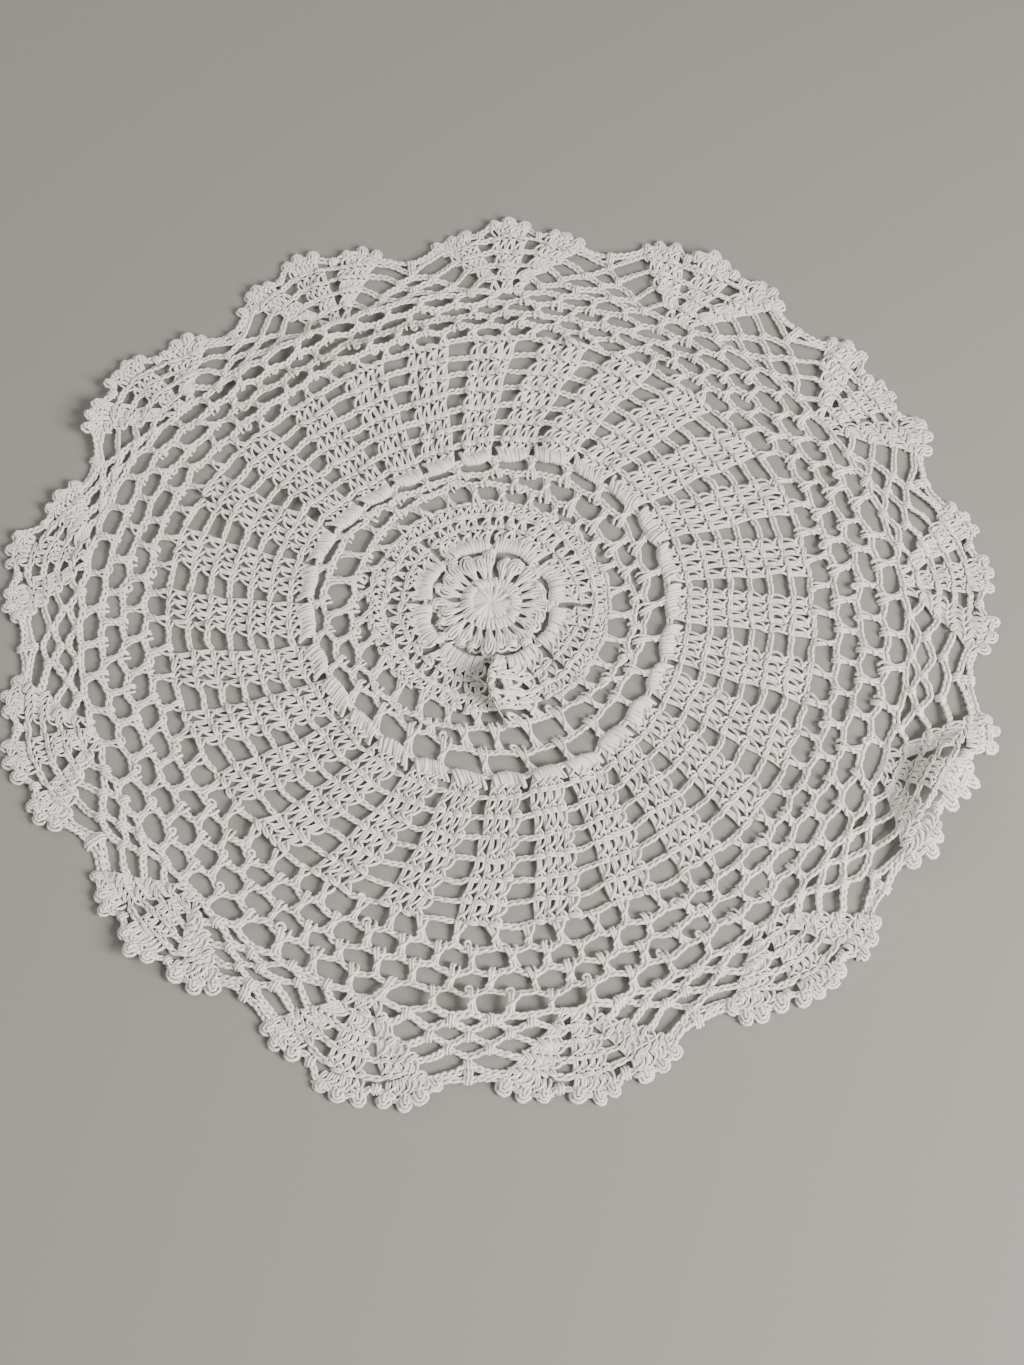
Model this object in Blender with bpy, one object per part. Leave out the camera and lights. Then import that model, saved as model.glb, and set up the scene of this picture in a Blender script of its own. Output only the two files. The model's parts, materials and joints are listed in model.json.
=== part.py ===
"""A crocheted cotton lace doily, about 300 mm across, lying on a table.

It is one piece of work in one thread, so it is one closed solid: a 2 mm sheet cut to the
scalloped outline, with the largest gaps of its two nets open right through, and with the
soft folds in which the lace lies. Smaller stitch holes are left solid.
Sizes below are in millimetres and degrees; the mesh is built in metres, +Z up.
"""

import math
from collections import namedtuple

import bmesh
import bpy
from mathutils.geometry import delaunay_2d_cdt

MM = 0.001

# ---- driving sizes ----
THICKNESS = 2.0          # height of a wrapped crochet stitch
CENTRE_X, CENTRE_Y = -2.4, -0.9   # the rosette lies a little off the middle of the outline
ROSETTE_EDGE = 39.5      # radius where the solid rosette and its lace rounds end

# Inner net: rounds of oblong meshes between the rosette and the panels.
INNER_MESHES = 28
INNER_ROUNDS = ((0.04, 0.40), (0.50, 0.90))   # each round's share of the net's width
INNER_MESH_FILL = 0.78   # how much of its pitch a mesh is open

# Outer net: rounds of brick-laid meshes between the panels and the scallops.
OUTER_MESHES_PER_SCALLOP = 5
OUTER_ROUNDS = 4
OUTER_MESH_FILL = 0.77
CHAIN_WIDTH = 1.9        # the chain that divides one round from the next

# Scallops: three fans each, worked out from the valley between two scallops.
FAN_PLACES = (0.22, 0.51, 0.79)
FAN_HALF_WIDTH = 3.15    # degrees
# A fan's dome: place across it (-1 to 1) and drop below its tip.
FAN_DOME = ((-1.0, 5.6), (-0.86, 2.2), (-0.4, 0.4), (0.4, 0.4), (0.86, 2.2), (1.0, 5.6))

# One row per scallop, counter-clockwise from +X: the valley at its clockwise side, how far its
# three fans reach, and the outer radius of the outer net, panels and inner net at that valley.
Scallop = namedtuple("Scallop", "valley_deg valley first middle last outer_net panels inner_net")
SCALLOPS = (
    Scallop(17.7, 142.0, 153.1, 152.1, 154.1, 124.0, 98.0, 54.0),
    Scallop(45.6, 144.0, 153.4, 154.4, 152.8, 123.0, 100.5, 55.0),
    Scallop(73.5, 140.0, 147.8, 151.9, 145.7, 120.0, 100.5, 54.0),
    Scallop(101.8, 134.4, 145.7, 151.1, 145.2, 117.0, 98.5, 50.5),
    Scallop(129.9, 132.4, 144.2, 151.3, 146.6, 117.0, 95.0, 50.5),
    Scallop(157.9, 134.4, 141.5, 150.1, 147.0, 123.0, 97.5, 53.5),
    Scallop(186.3, 140.0, 146.4, 149.4, 146.0, 121.5, 96.0, 53.5),
    Scallop(214.7, 134.9, 143.8, 146.4, 144.0, 120.5, 95.5, 52.0),
    Scallop(241.6, 136.4, 146.4, 154.4, 151.9, 122.5, 98.0, 54.0),
    Scallop(268.0, 142.0, 149.6, 152.4, 148.6, 125.0, 100.0, 56.0),
    Scallop(293.7, 138.5, 146.6, 151.6, 150.1, 124.5, 100.5, 57.0),
    Scallop(320.6, 141.0, 149.4, 152.1, 153.6, 123.0, 100.5, 54.0),
    Scallop(349.5, 143.5, 151.6, 153.8, 151.8, 123.5, 96.5, 53.0),
)

# One row per soft fold: where its crest is, how far it spreads each way, and its rise.
Fold = namedtuple("Fold", "name deg radius spread_deg spread rise")
FOLDS = (
    Fold("pleat in the rosette", 276.0, 31.0, 13.0, 15.0, 3.0),
    Fold("bulge at a panel's foot, far side", 71.0, 61.0, 10.0, 13.0, 2.5),
    Fold("bulge at a panel's foot, near side", 286.0, 61.0, 10.0, 13.0, 2.5),
    Fold("pucker in the left panels", 151.0, 64.0, 9.0, 16.0, 2.0),
    Fold("inner ripple of the far net", 110.0, 104.0, 38.0, 6.5, 2.5),
    Fold("outer ripple of the far net", 118.0, 116.0, 36.0, 6.0, 2.5),
    Fold("ripple of the near net", 270.0, 123.0, 26.0, 7.0, 2.5),
    Fold("lifted edge on the left", 157.0, 150.0, 15.0, 19.0, 6.0),
    Fold("curled scallop, near right", 334.0, 152.0, 13.0, 20.0, 8.0),
    Fold("raised fan, far right", 61.0, 152.0, 7.0, 13.0, 2.5),
    Fold("raised fan, near left", 229.0, 148.0, 8.0, 13.0, 2.5),
)

# Rings of extra points that let the sheet bend: radius share between two edges, and count.
ROSETTE_RINGS = ((9.0, 6), (21.0, 12), (31.0, 22))
PANEL_RING_PLACES = (0.12, 0.36, 0.62, 0.88)
PANEL_RING_POINTS = 28
SCALLOP_RING_PLACES = (0.25, 0.65)

COTTON = (0.80, 0.79, 0.76, 1.0)


def around(column, deg):
    """A column of SCALLOPS read at any angle, on a smooth closed curve through its rows."""
    count = len(SCALLOPS)
    first = SCALLOPS[0].valley_deg
    deg = (deg - first) % 360.0 + first
    row = max(i for i in range(count) if SCALLOPS[i].valley_deg <= deg)
    start = SCALLOPS[row].valley_deg
    end = SCALLOPS[(row + 1) % count].valley_deg + (360.0 if row + 1 == count else 0.0)
    t = (deg - start) / (end - start)
    a, b, c, d = (getattr(SCALLOPS[(row + step) % count], column) for step in (-1, 0, 1, 2))
    return b + 0.5 * t * (c - a + t * (2 * a - 5 * b + 4 * c - d + t * (3 * (b - c) + d - a)))


def scallop_deg(scallops):
    """The angle reached after a number of scallops, which needn't be whole."""
    count = len(SCALLOPS)
    turn, place = divmod(scallops, count)
    row = int(place)
    start = SCALLOPS[row].valley_deg
    end = SCALLOPS[(row + 1) % count].valley_deg + (360.0 if row + 1 == count else 0.0)
    return 360.0 * turn + start + (place - row) * (end - start)


def point(radius, deg):
    """Plan position of a polar point about the rosette."""
    angle = math.radians(deg)
    return (CENTRE_X + radius * math.cos(angle), CENTRE_Y + radius * math.sin(angle))


def outline():
    """The scalloped edge, counter-clockwise."""
    edge = []
    for number, row in enumerate(SCALLOPS):
        edge.append(point(row.valley, row.valley_deg))
        for place, reach in zip(FAN_PLACES, (row.first, row.middle, row.last)):
            middle = scallop_deg(number + place)
            for across, drop in FAN_DOME:
                edge.append(point(reach - drop, middle + across * FAN_HALF_WIDTH))
    return edge


def inner_net_meshes():
    """Six-sided meshes of the inner net, each round half a pitch on from the last."""
    pitch = 360.0 / INNER_MESHES
    half = 0.5 * pitch * INNER_MESH_FILL
    for number, (low, high) in enumerate(INNER_ROUNDS):
        for mesh in range(INNER_MESHES):
            middle = (mesh + 0.5 * number) * pitch
            width = around("inner_net", middle) - ROSETTE_EDGE
            bottom = ROSETTE_EDGE + low * width
            top = ROSETTE_EDGE + high * width
            side = 0.5 * (bottom + top)
            shoulder = 0.68 * half
            yield [
                point(bottom, middle - shoulder), point(bottom, middle + shoulder),
                point(side, middle + half),
                point(top, middle + shoulder), point(top, middle - shoulder),
                point(side, middle - half),
            ]


def outer_net_meshes():
    """Four-sided meshes of the outer net, brick-laid."""
    half = 0.5 * OUTER_MESH_FILL / OUTER_MESHES_PER_SCALLOP
    for number in range(OUTER_ROUNDS):
        for mesh in range(OUTER_MESHES_PER_SCALLOP * len(SCALLOPS)):
            middle = (mesh + 0.5 * (number % 2)) / OUTER_MESHES_PER_SCALLOP
            corners = []
            for side, level in ((-half, 0), (half, 0), (half, 1), (-half, 1)):
                deg = scallop_deg(middle + side)
                inside, outside = around("panels", deg), around("outer_net", deg)
                pitch = (outside - inside) / OUTER_ROUNDS
                margin = 0.5 * CHAIN_WIDTH * (1 - 2 * level)
                corners.append(point(inside + pitch * (number + level) + margin, deg))
            yield corners


def bending_points():
    """Loose points on the rosette, panels and scallops, where there are no net meshes."""
    for radius, count in ROSETTE_RINGS:
        for step in range(count):
            yield point(radius, 360.0 * (step + 0.3) / count)
    for number, place in enumerate(PANEL_RING_PLACES):
        for step in range(PANEL_RING_POINTS):
            deg = 360.0 * (step + 0.5 * (number % 2)) / PANEL_RING_POINTS
            inside, outside = around("inner_net", deg), around("panels", deg)
            yield point(inside + place * (outside - inside), deg)
    for place in SCALLOP_RING_PLACES:
        for number in range(len(SCALLOPS)):
            for fan in FAN_PLACES:
                deg = scallop_deg(number + fan)
                inside = around("outer_net", deg)
                yield point(inside + place * (around("middle", deg) - inside), deg)


def hump(distance, spread):
    """A smooth bump: 1 at its crest, 0 from its spread outwards."""
    share = min(1.0, abs(distance) / spread)
    return 0.5 + 0.5 * math.cos(math.pi * share)


def underside(x, y):
    """Height of the sheet's underside: zero where the lace lies flat on the table."""
    radius = math.hypot(x - CENTRE_X, y - CENTRE_Y)
    deg = math.degrees(math.atan2(y - CENTRE_Y, x - CENTRE_X))
    height = 0.0
    for fold in FOLDS:
        turn = (deg - fold.deg + 180.0) % 360.0 - 180.0
        height += fold.rise * hump(turn, fold.spread_deg) * hump(radius - fold.radius, fold.spread)
    return height


def sheet_plan():
    """Triangles of the sheet in plan: inside the outline, outside the net meshes."""
    loops = [outline(), *inner_net_meshes(), *outer_net_meshes()]
    points = []
    bounds = []
    for loop in loops:
        bounds.append(list(range(len(points), len(points) + len(loop))))
        points += loop
    points += bending_points()
    inside_without_holes = 2
    plan = delaunay_2d_cdt(points, [], bounds, inside_without_holes, 1e-4)
    return [tuple(p) for p in plan[0]], [tuple(face) for face in plan[2]]


def build_sheet():
    """The plan as a closed sheet of even thickness, laid on its folds."""
    plan, triangles = sheet_plan()
    used = sorted({corner for triangle in triangles for corner in triangle})
    bm = bmesh.new()
    lower, upper = {}, {}
    for index in used:
        x, y = plan[index]
        z = underside(x, y)
        lower[index] = bm.verts.new((x * MM, y * MM, z * MM))
        upper[index] = bm.verts.new((x * MM, y * MM, (z + THICKNESS) * MM))
    sides = {}
    for triangle in triangles:
        bm.faces.new([upper[i] for i in triangle])
        bm.faces.new([lower[i] for i in reversed(triangle)])
        for start, end in zip(triangle, triangle[1:] + triangle[:1]):
            sides[(start, end)] = True
    for start, end in sides:
        if (end, start) in sides:
            continue
        bm.faces.new((lower[start], lower[end], upper[end]))
        bm.faces.new((lower[start], upper[end], upper[start]))
    mesh = bpy.data.meshes.new("doily")
    bm.to_mesh(mesh)
    bm.free()
    mesh.shade_smooth()
    mesh.set_sharp_from_angle(angle=math.radians(35.0))
    return mesh


def cotton_material():
    """Off-white cotton thread."""
    material = bpy.data.materials.new("cotton_thread")
    material.use_nodes = True
    shader = material.node_tree.nodes["Principled BSDF"]
    shader.inputs["Base Color"].default_value = COTTON
    shader.inputs["Roughness"].default_value = 0.9
    shader.inputs["Metallic"].default_value = 0.0
    return material


def main():
    for leftover in list(bpy.data.objects):
        bpy.data.objects.remove(leftover, do_unlink=True)
    mesh = build_sheet()
    mesh.materials.append(cotton_material())
    doily = bpy.data.objects.new("doily", mesh)
    bpy.context.scene.collection.objects.link(doily)


main()
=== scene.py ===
"""A crocheted cotton lace doily, stitched round by round from its chart."""

import json
import math
from collections import namedtuple

import bpy
import numpy as np
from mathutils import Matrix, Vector

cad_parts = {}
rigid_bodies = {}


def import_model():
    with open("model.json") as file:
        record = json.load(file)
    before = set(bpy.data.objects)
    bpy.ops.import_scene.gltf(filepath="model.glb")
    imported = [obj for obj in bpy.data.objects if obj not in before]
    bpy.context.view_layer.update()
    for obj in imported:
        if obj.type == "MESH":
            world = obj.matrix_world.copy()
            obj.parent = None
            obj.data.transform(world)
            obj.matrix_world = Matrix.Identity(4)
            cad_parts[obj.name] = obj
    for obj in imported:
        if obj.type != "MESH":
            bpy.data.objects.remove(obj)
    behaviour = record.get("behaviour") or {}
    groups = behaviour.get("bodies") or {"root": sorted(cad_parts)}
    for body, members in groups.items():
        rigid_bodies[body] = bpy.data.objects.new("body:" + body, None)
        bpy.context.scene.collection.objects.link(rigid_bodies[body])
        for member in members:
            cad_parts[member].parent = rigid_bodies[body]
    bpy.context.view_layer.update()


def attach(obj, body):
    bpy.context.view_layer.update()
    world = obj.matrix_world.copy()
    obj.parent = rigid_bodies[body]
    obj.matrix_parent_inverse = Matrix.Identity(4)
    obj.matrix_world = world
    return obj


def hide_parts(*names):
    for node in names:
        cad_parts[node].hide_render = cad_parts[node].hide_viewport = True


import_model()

bl_info = {
    "name": "Lace Doily",
    "version": (1, 0, 0),
    "blender": (4, 5, 0),
    "location": "3D Viewport > Sidebar > Doily",
    "description": "Crochets a round cotton doily with ladder panels, nets and a picot edge",
    "category": "Add Mesh",
}

MM = 0.001
ABOVE_FLOOR = 0.00002

# ---------------- the chart, in mm and degrees

CENTRE_X, CENTRE_Y = -2.4, -0.9  # the rosette lies a little off the middle of the outline
WHEEL_SPOKES, RIM_STRANDS, PETALS, SHELLS = 36, 44, 24, 8
PETALS_PER_TIP = 3  # every third petal is a long tip
WHEEL_EDGE, RIM_INSIDE, RIM_EDGE = 6.6, 5.6, 9.0
PETAL_FOOT, LONG_PETAL, SHORT_PETAL = 8.6, 19.0, (16.2, 17.2)
SHELL_STITCHES, SHELL_STRANDS = 6, 17
SHELL_STRAND_FOOT, SHELL_CHAIN, SHELL_FOOT, SHELL_HEAD = 18.2, 19.6, 21.4, 26.8
TALL_ROUND_FOOT, TALL_ROUND_HEAD, PAIR_FOOT = 27.0, 31.6, 32.0  # the two openwork rounds
ROSETTE_EDGE = 36.0
MESHES_PER_SCALLOP = 5
NET_ROUNDS = 4
PANELS = 28
PANEL_ROWS = 7
PANEL_STITCHES = 4
PANEL_STRANDS = 12  # strands rolled over the chain at a panel's foot
FIRST_GAP, GAP_GROWTH = 2.6, 5.6  # the ladder gap at the first row, and how much wider it gets
BLOCK_MIDDLE = 0.505  # the middle of a scallop's blocks, as a share of its width
BLOCK_STITCH = 2.5  # width of a stitch in the blocks
FAN_DEPTH = 9.6  # from the foot of a fan to the tip of its picots
FAN_STITCHES = 6
FAN_PLACES = (0.22, 0.51, 0.79)
FAN_TURN = 70.0  # degrees of turn away from the middle, per scallop's width
SCALLOP_WIDTH = 66.0  # along the middle of the scallops' blocks
ROUNDS = ("rosette", "inner_net", "panels_inner_rows", "panels_outer_rows", "outer_net",
          "scallop_blocks", "scallop_loops", "edging")

# One row per scallop, counter-clockwise from +X: the valley at its clockwise side, how far its
# three fans reach, and the outer radius of the outer net, panels and inner net at that valley.
Scallop = namedtuple("Scallop", "valley_deg valley first middle last outer_net panels inner_net")
SCALLOPS = (
    Scallop(17.7, 142.0, 153.1, 152.1, 154.1, 124.0, 98.0, 54.0),
    Scallop(45.6, 144.0, 153.4, 154.4, 152.8, 123.0, 100.5, 55.0),
    Scallop(73.5, 140.0, 147.8, 151.9, 145.7, 120.0, 100.5, 54.0),
    Scallop(101.8, 134.4, 145.7, 151.1, 145.2, 117.0, 98.5, 50.5),
    Scallop(129.9, 132.4, 144.2, 151.3, 146.6, 117.0, 95.0, 50.5),
    Scallop(157.9, 134.4, 141.5, 150.1, 147.0, 123.0, 97.5, 53.5),
    Scallop(186.3, 140.0, 146.4, 149.4, 146.0, 121.5, 96.0, 53.5),
    Scallop(214.7, 134.9, 143.8, 146.4, 144.0, 120.5, 95.5, 52.0),
    Scallop(241.6, 136.4, 146.4, 154.4, 151.9, 122.5, 98.0, 54.0),
    Scallop(268.0, 142.0, 149.6, 152.4, 148.6, 125.0, 100.0, 56.0),
    Scallop(293.7, 138.5, 146.6, 151.6, 150.1, 124.5, 100.5, 57.0),
    Scallop(320.6, 141.0, 149.4, 152.1, 153.6, 123.0, 100.5, 54.0),
    Scallop(349.5, 143.5, 151.6, 153.8, 151.8, 123.5, 96.5, 53.0),
)

# One row per soft fold: where its crest is, how far it spreads each way, and its rise; how much
# steeper its clockwise side is, and how far it leans clockwise and inwards for its height.
Fold = namedtuple("Fold", "deg radius spread_deg spread rise steepness lean_back lean_in",
                  defaults=(1.0, 0.0, 0.0))
FOLDS = (
    Fold(279.5, 30.0, 17.0, 17.0, 7.0, 4.5, 0.8),  # pleat in the rosette
    Fold(71.0, 61.0, 10.0, 13.0, 2.5),  # bulge at a panel's foot, far side
    Fold(286.0, 61.0, 10.0, 13.0, 2.5),  # bulge at a panel's foot, near side
    Fold(151.0, 64.0, 9.0, 16.0, 2.0),  # pucker in the left panels
    Fold(110.0, 104.0, 38.0, 6.5, 3.2, lean_in=0.6),  # inner ripple of the far net
    Fold(118.0, 116.0, 36.0, 6.0, 3.2, lean_in=0.6),  # outer ripple of the far net
    Fold(270.0, 123.0, 26.0, 7.0, 2.5),  # ripple of the near net
    Fold(157.0, 150.0, 15.0, 19.0, 6.0),  # lifted edge on the left
    Fold(334.0, 143.0, 13.0, 15.0, 7.5, lean_in=0.45),  # curled scallop, near right
    Fold(61.0, 152.0, 7.0, 13.0, 2.5),  # raised fan, far right
    Fold(229.0, 148.0, 8.0, 13.0, 2.5),  # raised fan, near left
)

# The blocks of one scallop at the top of each row, as shares of the scallop's width from its
# middle: the middle block's side, the side block's near side and its far side.
Level = namedtuple("Level", "middle near far")
BLOCK_LEVELS = (
    Level(0.022, 0.036, 0.070),
    Level(0.034, 0.071, 0.122),
    Level(0.053, 0.106, 0.205),
    Level(0.069, 0.133, 0.272),
    Level(0.083, 0.156, 0.328),
)

# The loops between two scallops, from the valley outwards each way: each row's joints as shares
# of a scallop's width from the valley, then the height of joints and crowns between net and edge.
Loops = namedtuple("Loops", "joints joint crown")
LOOP_ROWS = (
    Loops((-0.295, -0.098, 0.098, 0.295), 0.08, 0.22),
    Loops((-0.195, 0.0, 0.195), 0.295, 0.425),
    Loops((-0.095, 0.095), 0.51, 0.63),
    Loops((0.0,), 0.73, 0.78),
)


def curve(a, b, c, d, t):
    """A smooth curve from b to c as t goes from 0 to 1, shaped by a and d on either side."""
    return b + 0.5 * t * (c - a + t * (2 * a - 5 * b + 4 * c - d + t * (3 * (b - c) + d - a)))


def valleys(row):
    """The angles of the valleys before and after a scallop."""
    count = len(SCALLOPS)
    end = SCALLOPS[(row + 1) % count].valley_deg + (360.0 if row + 1 == count else 0.0)
    return SCALLOPS[row].valley_deg, end


def around(column, deg):
    """A column of SCALLOPS read at any angle, on a smooth closed curve through its rows."""
    count = len(SCALLOPS)
    first = SCALLOPS[0].valley_deg
    deg = (deg - first) % 360.0 + first
    row = max(i for i in range(count) if SCALLOPS[i].valley_deg <= deg)
    start, end = valleys(row)
    rows = (getattr(SCALLOPS[(row + step) % count], column) for step in (-1, 0, 1, 2))
    return curve(*rows, (deg - start) / (end - start))


def scallop_deg(scallops):
    """The angle reached after a number of scallops, which needn't be whole."""
    turn, place = divmod(scallops, len(SCALLOPS))
    start, end = valleys(int(place))
    return 360.0 * turn + start + (place - int(place)) * (end - start)


def spot(radius, deg):
    """Plan position of a polar point about the rosette, in mm."""
    angle = math.radians(deg)
    return np.array((CENTRE_X + radius * math.cos(angle), CENTRE_Y + radius * math.sin(angle)))


def heading(deg):
    """The direction outwards from the rosette at an angle."""
    return spot(1.0, deg) - spot(0.0, deg)


def unit(way):
    """A direction in plan, one long."""
    return way / np.hypot(*way)


def shares(count):
    """The middles of a number of equal parts of 1."""
    return [(number + 0.5) / count for number in range(count)]


def hump(distance, spread):
    """A smooth bump: 1 at its crest, 0 from its spread outwards."""
    share = np.minimum(1.0, np.abs(distance) / spread)
    return 0.5 + 0.5 * np.cos(np.pi * share)


def fold_shift(x, y):
    """How far the folds move the lace along X, Y and Z, in mm."""
    east, north = x - CENTRE_X, y - CENTRE_Y
    radius = np.hypot(east, north) + 1e-6
    deg = np.degrees(np.arctan2(north, east))
    shift = np.zeros((3, *radius.shape))
    for fold in FOLDS:
        turn = (deg - fold.deg + 180.0) % 360.0 - 180.0
        turn = np.where(turn < 0.0, turn * fold.steepness, turn)
        rise = fold.rise * hump(turn, fold.spread_deg) * hump(radius - fold.radius, fold.spread)
        back, inwards = rise * fold.lean_back / radius, rise * fold.lean_in / radius
        shift += (back * north - inwards * east, -back * east - inwards * north, rise)
    return shift


# ---------------- stitches

# Each stitch lies with its foot at the origin and its head along +Y. +X is its clockwise side.
CHAIN, TALL, TALL_SLACK, POST, POST_LOOPED, PETAL, STRAND, ROLLED, PICOT, KNOT = range(10)
LENGTH = (2.05, 6.1, 6.1, 5.0, 5.0, 7.0, 6.0, 4.0, 2.6, 2.4)  # mm, from foot to head
TALL_WIDTH = 3.1
CHAIN_WIDTH = 1.14  # chains are pulled this much wider than their link


def chain_link():
    """A chain: a twisted loop, one side over the other, its tail deep inside the one before."""
    return [(True, [(0.0, -0.95, 0.5), (0.44, -0.05, 0.9), (0.42, 0.95, 1.32), (0.14, 1.75, 1.28),
                    (-0.15, 2.35, 0.65), (-0.54, 1.75, 0.85), (-0.62, 0.95, 0.85),
                    (-0.4, -0.05, 0.72)])]


def tall_stitch():
    """A tall stitch: two strands side by side, a slack leg that leaves a wedge of air at the
    foot, a strand slung across, and a link of the row's ridge over the head."""
    return [
        (False, [(0.95, -0.7, 0.45), (1.08, 0.5, 1.1), (0.98, 2.0, 1.15), (0.86, 3.6, 1.0),
                 (1.05, 5.0, 0.9), (1.2, 6.0, 0.7)]),
        (False, [(0.22, -0.7, 0.45), (0.3, 0.5, 1.2), (0.3, 2.0, 1.28), (0.14, 3.6, 1.1),
                 (-0.28, 4.9, 0.95), (-0.55, 6.0, 0.7)]),
        (False, [(-1.22, -0.6, 0.55), (-1.38, 0.4, 1.15), (-1.12, 1.7, 1.35), (-0.55, 3.0, 1.55),
                 (0.25, 3.9, 1.65), (0.95, 4.5, 1.2)]),
        (False, [(0.95, 3.0, 0.9), (0.25, 3.7, 1.55), (-0.65, 4.35, 1.65), (-1.32, 5.0, 1.3),
                 (-1.5, 6.1, 0.7)]),
        (True, [(-1.75, 6.1, 1.0), (-0.9, 6.45, 1.5), (0.3, 6.55, 1.5), (1.3, 6.38, 1.2),
                (1.75, 6.1, 0.9), (1.0, 5.82, 1.45), (0.0, 5.72, 1.7), (-0.95, 5.82, 1.55)]),
    ]


def slack_tall_stitch():
    """A looser tall stitch, whose leg bows out and whose sling lies lower."""
    return [
        (False, [(1.05, -0.7, 0.45), (0.92, 0.5, 1.15), (0.8, 2.0, 1.2), (0.95, 3.6, 1.05),
                 (1.1, 5.0, 0.9), (1.1, 6.0, 0.7)]),
        (False, [(0.4, -0.7, 0.45), (0.22, 0.5, 1.25), (0.05, 2.0, 1.2), (0.2, 3.6, 1.15),
                 (-0.1, 4.9, 0.95), (-0.45, 6.0, 0.7)]),
        (False, [(-1.05, -0.6, 0.55), (-1.55, 0.5, 1.25), (-1.55, 1.8, 1.45), (-1.0, 3.0, 1.5),
                 (-0.1, 3.7, 1.7), (0.8, 4.1, 1.35)]),
        (False, [(0.9, 3.6, 1.0), (0.2, 4.1, 1.6), (-0.6, 4.4, 1.6), (-1.25, 4.9, 1.2),
                 (-1.45, 6.1, 0.7)]),
        (True, [(-1.75, 6.1, 0.95), (-0.85, 6.5, 1.45), (0.35, 6.5, 1.6), (1.25, 6.4, 1.3),
                (1.75, 6.05, 0.95), (1.0, 5.75, 1.4), (0.0, 5.7, 1.6), (-0.95, 5.8, 1.6)]),
    ]


def net_post():
    """A post of the nets: its strands come over the chain below, narrow to a neck, and one
    slack leg stands apart at the foot."""
    return [
        (False, [(0.85, -1.05, 0.5), (1.1, -0.35, 1.65), (0.85, 0.8, 1.6), (0.5, 2.2, 1.15),
                 (0.42, 3.4, 1.0), (0.75, 4.5, 1.0), (1.25, 5.3, 0.8)]),
        (False, [(0.1, -1.1, 0.5), (0.2, -0.35, 1.75), (0.05, 0.8, 1.7), (-0.12, 2.2, 1.3),
                 (-0.15, 3.4, 1.35), (-0.1, 4.5, 1.35), (-0.15, 5.4, 0.9)]),
        (False, [(-1.35, -1.0, 0.6), (-1.62, -0.3, 1.55), (-1.42, 0.7, 1.5),
                 (-0.95, 1.7, 1.3), (-0.35, 2.6, 1.6), (0.45, 3.2, 1.6), (0.95, 3.7, 0.9)]),
        (False, [(-0.62, 2.3, 0.75), (-0.66, 3.4, 0.9), (-0.85, 4.4, 0.95), (-1.35, 5.2, 0.75)]),
    ]


RING = [math.tau * step / 9 for step in range(9)]


def looped_net_post():
    """A net post with a loose loop of thread left beside its foot."""
    loop = [(1.15 + 0.92 * math.cos(turn), -0.95 + 0.85 * math.sin(turn),
             1.25 + 0.30 * math.cos(turn)) for turn in RING]
    return [*net_post(), (True, loop)]


def petal():
    """A petal of the rosette: a plump lobe of round loops on a narrow neck."""
    outer = ((0.25, -0.3, 0.7), (0.38, 1.4, 1.0), (0.8, 2.7, 1.3), (1.75, 3.9, 1.3),
             (1.9, 5.3, 1.15), (1.2, 6.6, 0.95))
    left = [(-x, y, z) for x, y, z in reversed(outer)]
    return [
        (True, [*outer, (0.0, 7.1, 0.8), *left]),
        (False, [(-0.35, 2.3, 1.5), (-0.98, 3.9, 1.9), (-0.95, 5.2, 1.85), (0.0, 6.15, 1.55),
                 (0.92, 5.3, 1.85), (0.95, 4.0, 1.9), (0.3, 2.2, 1.55)]),
        (False, [(0.0, 0.6, 1.2), (-0.08, 3.4, 2.05), (0.05, 5.3, 2.0)]),
    ]


def strand():
    """One strand, a little bowed."""
    return [(False, [(0.0, -0.3, 0.6), (0.22, 1.2, 1.1), (0.1, 3.0, 1.35), (-0.18, 4.8, 1.25),
                     (0.0, 6.3, 0.8)])]


def rolled_strand():
    """One strand that comes up round what lies at its foot and runs on over it."""
    return [(False, [(0.0, 0.7, 0.42), (0.0, 0.0, 0.75), (0.02, 0.05, 1.55), (0.06, 0.9, 2.15),
                     (0.04, 2.1, 2.05), (0.0, 3.2, 1.55), (0.0, 4.2, 0.95)])]


def picot():
    """A bead of the edge: a ring of thread filled by a loop and a strand over its middle."""
    ring = [(1.58 * math.cos(turn), 1.30 + 1.52 * math.sin(turn), 0.90 + 0.15 * math.cos(3 * turn))
            for turn in RING]
    return [
        (True, ring),
        (False, [(-0.8, -0.7, 1.1), (-0.98, 0.8, 1.75), (-0.5, 2.0, 1.85), (0.45, 2.15, 1.75),
                 (0.98, 1.1, 1.7), (0.8, -0.5, 1.2)]),
        (False, [(-0.1, -0.7, 1.2), (0.12, 0.5, 2.05), (-0.05, 1.5, 1.9)]),
    ]


def joint_knot():
    """Three short strands that close over the thread below."""
    return [
        (False, [(-0.72, -1.25, 0.5), (-0.88, -0.5, 1.65), (-0.62, 0.6, 1.7), (-0.75, 1.4, 0.7)]),
        (False, [(0.15, -1.35, 0.5), (0.02, -0.5, 1.85), (0.12, 0.6, 1.85), (0.2, 1.5, 0.6)]),
        (False, [(0.95, -1.1, 0.5), (0.92, -0.4, 1.5), (0.74, 0.5, 1.6), (0.8, 1.3, 0.6)]),
    ]


SHAPES = (chain_link, tall_stitch, slack_tall_stitch, net_post, looped_net_post, petal, strand,
          rolled_strand, picot, joint_knot)


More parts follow.
